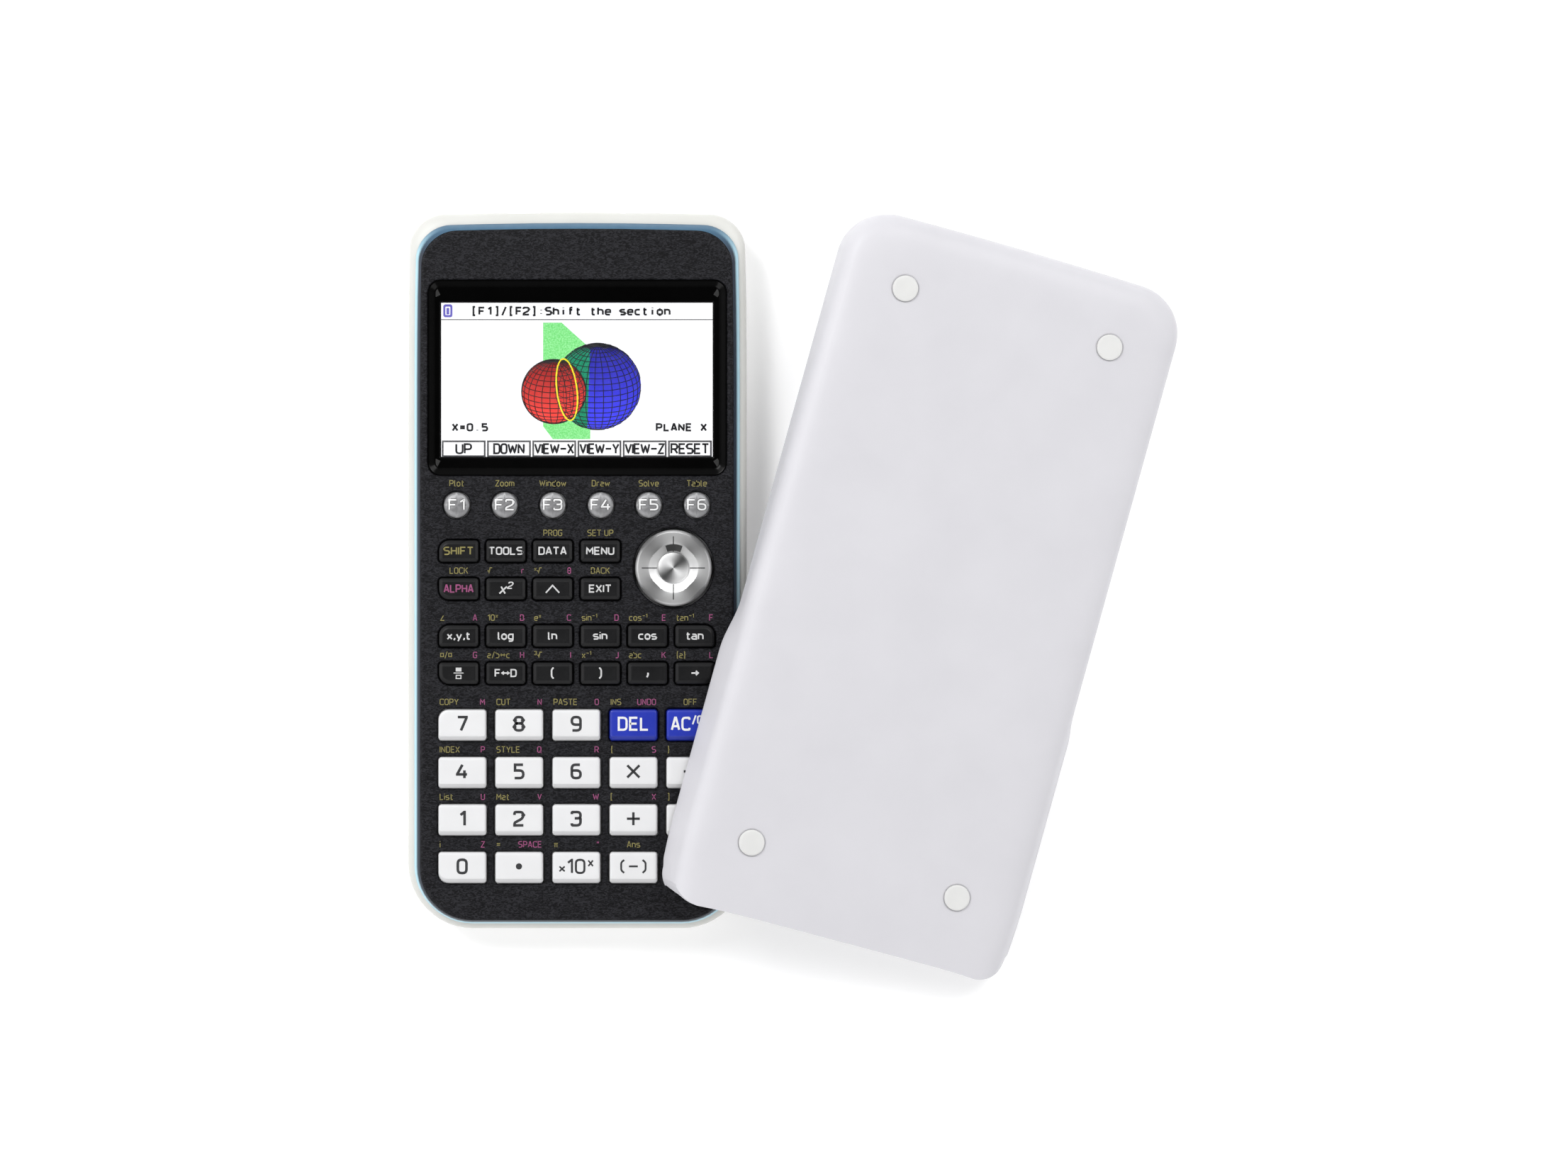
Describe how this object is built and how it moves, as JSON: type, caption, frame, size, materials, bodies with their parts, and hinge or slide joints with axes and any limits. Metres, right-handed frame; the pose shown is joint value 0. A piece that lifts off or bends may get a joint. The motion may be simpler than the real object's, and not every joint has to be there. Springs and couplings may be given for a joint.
{
  "type": "graphing calculator",
  "caption": "Graphing calculator with a colour screen, moulded keys and a rocking cursor pad, lying on its back with its slide-on hard cover leaning on its side.",
  "frame": {"origin": "middle of the calculator's flat back", "axes": "+X to the calculator's right, +Y towards its screen end, +Z out of its face"},
  "size_m": [0.2029, 0.2021, 0.0291],
  "materials": {
    "white_case": "satin moulded plastic",
    "black_face": "fine-textured charcoal plastic",
    "black_key": "semi-gloss black key plastic",
    "white_key": "semi-gloss white key plastic",
    "blue_key": "semi-gloss blue key plastic",
    "silver": "silver-plated brushed plastic",
    "clear_window": "clear glossy lens with a black printed border",
    "display": "lit colour display",
    "board_green": "solder-masked circuit board",
    "mat_grey": "silicone",
    "cell_wrap": "printed cell sleeve",
    "cover_white": "satin moulded plastic",
    "foot_ivory": "ivory rubber"
  },
  "bodies": {
    "calculator": {"rear_case": "white_case", "front_panel": "black_face", "display_window": "clear_window", "lcd_module": "display", "main_board": "board_green", "key_mat": "mat_grey", "battery_cells": "cell_wrap"},
    "battery_cover": {"battery_cover": "white_case"},
    "slide_cover": {"slide_cover": "cover_white", "cover_foot_1": "foot_ivory", "cover_foot_2": "foot_ivory", "cover_foot_3": "foot_ivory", "cover_foot_4": "foot_ivory"},
    "cursor_pad": {"cursor_pad": "silver"},
    "key_f1": {"key_f1": "silver"},
    "key_f2": {"key_f2": "silver"},
    "key_f3": {"key_f3": "silver"},
    "key_f4": {"key_f4": "silver"},
    "key_f5": {"key_f5": "silver"},
    "key_f6": {"key_f6": "silver"},
    "key_shift": {"key_shift": "black_key"},
    "key_option": {"key_option": "black_key"},
    "key_variables": {"key_variables": "black_key"},
    "key_menu": {"key_menu": "black_key"},
    "key_alpha": {"key_alpha": "black_key"},
    "key_square": {"key_square": "black_key"},
    "key_power": {"key_power": "black_key"},
    "key_exit": {"key_exit": "black_key"},
    "key_variable_x": {"key_variable_x": "black_key"},
    "key_log": {"key_log": "black_key"},
    "key_ln": {"key_ln": "black_key"},
    "key_sin": {"key_sin": "black_key"},
    "key_cos": {"key_cos": "black_key"},
    "key_tan": {"key_tan": "black_key"},
    "key_fraction": {"key_fraction": "black_key"},
    "key_convert": {"key_convert": "black_key"},
    "key_bracket_open": {"key_bracket_open": "black_key"},
    "key_bracket_close": {"key_bracket_close": "black_key"},
    "key_comma": {"key_comma": "black_key"},
    "key_store": {"key_store": "black_key"},
    "key_7": {"key_7": "white_key"},
    "key_8": {"key_8": "white_key"},
    "key_9": {"key_9": "white_key"},
    "key_delete": {"key_delete": "blue_key"},
    "key_clear_on": {"key_clear_on": "blue_key"},
    "key_4": {"key_4": "white_key"},
    "key_5": {"key_5": "white_key"},
    "key_6": {"key_6": "white_key"},
    "key_multiply": {"key_multiply": "white_key"},
    "key_divide": {"key_divide": "white_key"},
    "key_1": {"key_1": "white_key"},
    "key_2": {"key_2": "white_key"},
    "key_3": {"key_3": "white_key"},
    "key_plus": {"key_plus": "white_key"},
    "key_minus": {"key_minus": "white_key"},
    "key_0": {"key_0": "white_key"},
    "key_point": {"key_point": "white_key"},
    "key_exponent": {"key_exponent": "white_key"},
    "key_negative": {"key_negative": "white_key"},
    "key_execute": {"key_execute": "white_key"}
  },
  "joints": [
    {"name": "battery_cover_hinge", "type": "hinge", "parent": "calculator", "child": "battery_cover", "pos_m": [0, -0.0751, 0.0001], "axis": [-1, 0, 0], "range_deg": [0, 60]},
    {"name": "cover_lift", "type": "slide", "parent": "calculator", "child": "slide_cover", "axis": [0, 0, 1], "range_m": [0, 0.06]},
    {"name": "cursor_rock", "type": "hinge", "parent": "calculator", "child": "cursor_pad", "pos_m": [0.0254, 0.0006, 0.0149], "axis": [1, 0, 0], "range_deg": [-3.5, 3.5], "stiffness_Nm_per_rad": 0.1},
    {"name": "key_f1_press", "type": "slide", "parent": "calculator", "child": "key_f1", "axis": [0, 0, -1], "range_m": [0, 0.0008], "stiffness_N_per_m": 800, "springref_m": -0.0005},
    {"name": "key_f2_press", "type": "slide", "parent": "calculator", "child": "key_f2", "axis": [0, 0, -1], "range_m": [0, 0.0008], "stiffness_N_per_m": 800, "springref_m": -0.0005},
    {"name": "key_f3_press", "type": "slide", "parent": "calculator", "child": "key_f3", "axis": [0, 0, -1], "range_m": [0, 0.0008], "stiffness_N_per_m": 800, "springref_m": -0.0005},
    {"name": "key_f4_press", "type": "slide", "parent": "calculator", "child": "key_f4", "axis": [0, 0, -1], "range_m": [0, 0.0008], "stiffness_N_per_m": 800, "springref_m": -0.0005},
    {"name": "key_f5_press", "type": "slide", "parent": "calculator", "child": "key_f5", "axis": [0, 0, -1], "range_m": [0, 0.0008], "stiffness_N_per_m": 800, "springref_m": -0.0005},
    {"name": "key_f6_press", "type": "slide", "parent": "calculator", "child": "key_f6", "axis": [0, 0, -1], "range_m": [0, 0.0008], "stiffness_N_per_m": 800, "springref_m": -0.0005},
    {"name": "key_shift_press", "type": "slide", "parent": "calculator", "child": "key_shift", "axis": [0, 0, -1], "range_m": [0, 0.0008], "stiffness_N_per_m": 800, "springref_m": -0.0005},
    {"name": "key_option_press", "type": "slide", "parent": "calculator", "child": "key_option", "axis": [0, 0, -1], "range_m": [0, 0.0008], "stiffness_N_per_m": 800, "springref_m": -0.0005},
    {"name": "key_variables_press", "type": "slide", "parent": "calculator", "child": "key_variables", "axis": [0, 0, -1], "range_m": [0, 0.0008], "stiffness_N_per_m": 800, "springref_m": -0.0005},
    {"name": "key_menu_press", "type": "slide", "parent": "calculator", "child": "key_menu", "axis": [0, 0, -1], "range_m": [0, 0.0008], "stiffness_N_per_m": 800, "springref_m": -0.0005},
    {"name": "key_alpha_press", "type": "slide", "parent": "calculator", "child": "key_alpha", "axis": [0, 0, -1], "range_m": [0, 0.0008], "stiffness_N_per_m": 800, "springref_m": -0.0005},
    {"name": "key_square_press", "type": "slide", "parent": "calculator", "child": "key_square", "axis": [0, 0, -1], "range_m": [0, 0.0008], "stiffness_N_per_m": 800, "springref_m": -0.0005},
    {"name": "key_power_press", "type": "slide", "parent": "calculator", "child": "key_power", "axis": [0, 0, -1], "range_m": [0, 0.0008], "stiffness_N_per_m": 800, "springref_m": -0.0005},
    {"name": "key_exit_press", "type": "slide", "parent": "calculator", "child": "key_exit", "axis": [0, 0, -1], "range_m": [0, 0.0008], "stiffness_N_per_m": 800, "springref_m": -0.0005},
    {"name": "key_variable_x_press", "type": "slide", "parent": "calculator", "child": "key_variable_x", "axis": [0, 0, -1], "range_m": [0, 0.0008], "stiffness_N_per_m": 800, "springref_m": -0.0005},
    {"name": "key_log_press", "type": "slide", "parent": "calculator", "child": "key_log", "axis": [0, 0, -1], "range_m": [0, 0.0008], "stiffness_N_per_m": 800, "springref_m": -0.0005},
    {"name": "key_ln_press", "type": "slide", "parent": "calculator", "child": "key_ln", "axis": [0, 0, -1], "range_m": [0, 0.0008], "stiffness_N_per_m": 800, "springref_m": -0.0005},
    {"name": "key_sin_press", "type": "slide", "parent": "calculator", "child": "key_sin", "axis": [0, 0, -1], "range_m": [0, 0.0008], "stiffness_N_per_m": 800, "springref_m": -0.0005},
    {"name": "key_cos_press", "type": "slide", "parent": "calculator", "child": "key_cos", "axis": [0, 0, -1], "range_m": [0, 0.0008], "stiffness_N_per_m": 800, "springref_m": -0.0005},
    {"name": "key_tan_press", "type": "slide", "parent": "calculator", "child": "key_tan", "axis": [0, 0, -1], "range_m": [0, 0.0008], "stiffness_N_per_m": 800, "springref_m": -0.0005},
    {"name": "key_fraction_press", "type": "slide", "parent": "calculator", "child": "key_fraction", "axis": [0, 0, -1], "range_m": [0, 0.0008], "stiffness_N_per_m": 800, "springref_m": -0.0005},
    {"name": "key_convert_press", "type": "slide", "parent": "calculator", "child": "key_convert", "axis": [0, 0, -1], "range_m": [0, 0.0008], "stiffness_N_per_m": 800, "springref_m": -0.0005},
    {"name": "key_bracket_open_press", "type": "slide", "parent": "calculator", "child": "key_bracket_open", "axis": [0, 0, -1], "range_m": [0, 0.0008], "stiffness_N_per_m": 800, "springref_m": -0.0005},
    {"name": "key_bracket_close_press", "type": "slide", "parent": "calculator", "child": "key_bracket_close", "axis": [0, 0, -1], "range_m": [0, 0.0008], "stiffness_N_per_m": 800, "springref_m": -0.0005},
    {"name": "key_comma_press", "type": "slide", "parent": "calculator", "child": "key_comma", "axis": [0, 0, -1], "range_m": [0, 0.0008], "stiffness_N_per_m": 800, "springref_m": -0.0005},
    {"name": "key_store_press", "type": "slide", "parent": "calculator", "child": "key_store", "axis": [0, 0, -1], "range_m": [0, 0.0008], "stiffness_N_per_m": 800, "springref_m": -0.0005},
    {"name": "key_7_press", "type": "slide", "parent": "calculator", "child": "key_7", "axis": [0, 0, -1], "range_m": [0, 0.0008], "stiffness_N_per_m": 800, "springref_m": -0.0005},
    {"name": "key_8_press", "type": "slide", "parent": "calculator", "child": "key_8", "axis": [0, 0, -1], "range_m": [0, 0.0008], "stiffness_N_per_m": 800, "springref_m": -0.0005},
    {"name": "key_9_press", "type": "slide", "parent": "calculator", "child": "key_9", "axis": [0, 0, -1], "range_m": [0, 0.0008], "stiffness_N_per_m": 800, "springref_m": -0.0005},
    {"name": "key_delete_press", "type": "slide", "parent": "calculator", "child": "key_delete", "axis": [0, 0, -1], "range_m": [0, 0.0008], "stiffness_N_per_m": 800, "springref_m": -0.0005},
    {"name": "key_clear_on_press", "type": "slide", "parent": "calculator", "child": "key_clear_on", "axis": [0, 0, -1], "range_m": [0, 0.0008], "stiffness_N_per_m": 800, "springref_m": -0.0005},
    {"name": "key_4_press", "type": "slide", "parent": "calculator", "child": "key_4", "axis": [0, 0, -1], "range_m": [0, 0.0008], "stiffness_N_per_m": 800, "springref_m": -0.0005},
    {"name": "key_5_press", "type": "slide", "parent": "calculator", "child": "key_5", "axis": [0, 0, -1], "range_m": [0, 0.0008], "stiffness_N_per_m": 800, "springref_m": -0.0005},
    {"name": "key_6_press", "type": "slide", "parent": "calculator", "child": "key_6", "axis": [0, 0, -1], "range_m": [0, 0.0008], "stiffness_N_per_m": 800, "springref_m": -0.0005},
    {"name": "key_multiply_press", "type": "slide", "parent": "calculator", "child": "key_multiply", "axis": [0, 0, -1], "range_m": [0, 0.0008], "stiffness_N_per_m": 800, "springref_m": -0.0005},
    {"name": "key_divide_press", "type": "slide", "parent": "calculator", "child": "key_divide", "axis": [0, 0, -1], "range_m": [0, 0.0008], "stiffness_N_per_m": 800, "springref_m": -0.0005},
    {"name": "key_1_press", "type": "slide", "parent": "calculator", "child": "key_1", "axis": [0, 0, -1], "range_m": [0, 0.0008], "stiffness_N_per_m": 800, "springref_m": -0.0005},
    {"name": "key_2_press", "type": "slide", "parent": "calculator", "child": "key_2", "axis": [0, 0, -1], "range_m": [0, 0.0008], "stiffness_N_per_m": 800, "springref_m": -0.0005},
    {"name": "key_3_press", "type": "slide", "parent": "calculator", "child": "key_3", "axis": [0, 0, -1], "range_m": [0, 0.0008], "stiffness_N_per_m": 800, "springref_m": -0.0005},
    {"name": "key_plus_press", "type": "slide", "parent": "calculator", "child": "key_plus", "axis": [0, 0, -1], "range_m": [0, 0.0008], "stiffness_N_per_m": 800, "springref_m": -0.0005},
    {"name": "key_minus_press", "type": "slide", "parent": "calculator", "child": "key_minus", "axis": [0, 0, -1], "range_m": [0, 0.0008], "stiffness_N_per_m": 800, "springref_m": -0.0005},
    {"name": "key_0_press", "type": "slide", "parent": "calculator", "child": "key_0", "axis": [0, 0, -1], "range_m": [0, 0.0008], "stiffness_N_per_m": 800, "springref_m": -0.0005},
    {"name": "key_point_press", "type": "slide", "parent": "calculator", "child": "key_point", "axis": [0, 0, -1], "range_m": [0, 0.0008], "stiffness_N_per_m": 800, "springref_m": -0.0005},
    {"name": "key_exponent_press", "type": "slide", "parent": "calculator", "child": "key_exponent", "axis": [0, 0, -1], "range_m": [0, 0.0008], "stiffness_N_per_m": 800, "springref_m": -0.0005},
    {"name": "key_negative_press", "type": "slide", "parent": "calculator", "child": "key_negative", "axis": [0, 0, -1], "range_m": [0, 0.0008], "stiffness_N_per_m": 800, "springref_m": -0.0005},
    {"name": "key_execute_press", "type": "slide", "parent": "calculator", "child": "key_execute", "axis": [0, 0, -1], "range_m": [0, 0.0008], "stiffness_N_per_m": 800, "springref_m": -0.0005}
  ]
}
